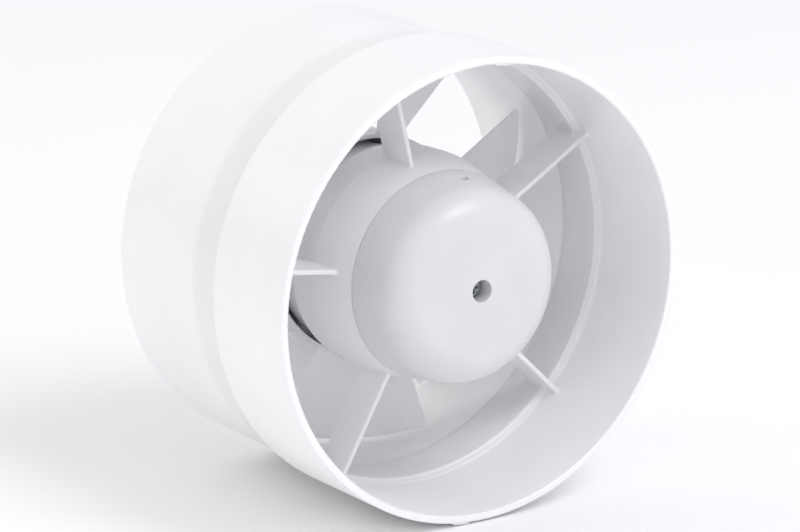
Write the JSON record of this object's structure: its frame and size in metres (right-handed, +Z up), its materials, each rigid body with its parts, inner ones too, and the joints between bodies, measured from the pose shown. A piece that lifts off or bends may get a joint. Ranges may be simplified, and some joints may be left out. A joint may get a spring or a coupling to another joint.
{
  "type": "in-line duct extractor fan",
  "caption": "Round in-line duct extractor fan: stepped white casing with a central motor pod on radial struts, motor inside, and a bladed impeller behind.",
  "frame": {"origin": "on the fan's axis, in the plane of the shoulder where the collar meets the spigot", "axes": "+Y along the fan's axis from the motor cover's side towards the impeller and the spigot's mouth, +Z up, with the cable entry low on the pod's +X side"},
  "size_m": [0.154, 0.1018, 0.1543],
  "materials": {
    "white_plastic": "injection-moulded ABS, fine satin",
    "impeller_plastic": "moulded polypropylene, satin",
    "housing_plastic": "moulded ABS, satin",
    "grommet_rubber": "soft pale rubber",
    "bush_rubber": "black rubber",
    "nylon": "natural nylon",
    "zinc_steel": "zinc plated",
    "shaft_steel": "ground",
    "laminated_steel": "stacked electrical steel",
    "copper_wire": "enamelled copper wire",
    "copper": "bare copper",
    "cast_aluminium": "die cast",
    "pressed_steel": "zinc plated pressing",
    "bronze": "sintered bronze",
    "brass": "turned",
    "felt": "oiled felt",
    "pvc_brown": "PVC insulation",
    "pvc_blue": "PVC insulation",
    "fibre": "hard fibre washer",
    "fuse_body": "drawn metal case"
  },
  "bodies": {
    "casing": {"front_casing": "white_plastic", "rear_casing": "white_plastic", "motor_cover": "white_plastic", "cover_screw": "zinc_steel", "cable_grommet": "grommet_rubber", "cable_clamp": "nylon", "clamp_screws": "zinc_steel", "terminal_block": "nylon", "terminal_insert_1": "brass", "terminal_insert_2": "brass", "terminal_screws": "zinc_steel", "terminal_block_screw": "zinc_steel", "lead_wire_live": "pvc_brown", "lead_wire_neutral": "pvc_blue", "motor_housing": "housing_plastic", "housing_screws": "zinc_steel", "vibration_bush_1": "bush_rubber", "vibration_bush_2": "bush_rubber", "motor_bolts": "zinc_steel", "motor_washers": "zinc_steel", "motor_nuts": "zinc_steel", "stator_core": "laminated_steel", "thermal_fuse": "fuse_body", "coil_bobbin_1": "nylon", "coil_winding_1": "copper_wire", "shading_ring_1": "copper", "coil_bobbin_2": "nylon", "coil_winding_2": "copper_wire", "shading_ring_2": "copper", "coil_bobbin_3": "nylon", "coil_winding_3": "copper_wire", "shading_ring_3": "copper", "coil_bobbin_4": "nylon", "coil_winding_4": "copper_wire", "shading_ring_4": "copper", "front_bearing_bracket": "pressed_steel", "front_sleeve_bearing": "bronze", "front_oil_felt": "felt", "front_felt_retainer": "pressed_steel", "rear_bearing_bracket": "pressed_steel", "rear_sleeve_bearing": "bronze", "rear_oil_felt": "felt", "rear_felt_retainer": "pressed_steel"},
    "rotor": {"rotor_shaft": "shaft_steel", "rotor_core": "laminated_steel", "rotor_cage": "cast_aluminium", "front_spacer": "nylon", "rear_spacer": "nylon", "front_thrust_washer": "fibre", "rear_thrust_washer": "fibre", "impeller": "impeller_plastic", "impeller_bush": "brass", "push_nut": "pressed_steel"}
  },
  "joints": [
    {"name": "rotor_spin", "type": "hinge", "parent": "casing", "child": "rotor", "pos_m": [0, 0, 0], "axis": [0, 1, 0], "continuous": true}
  ]
}
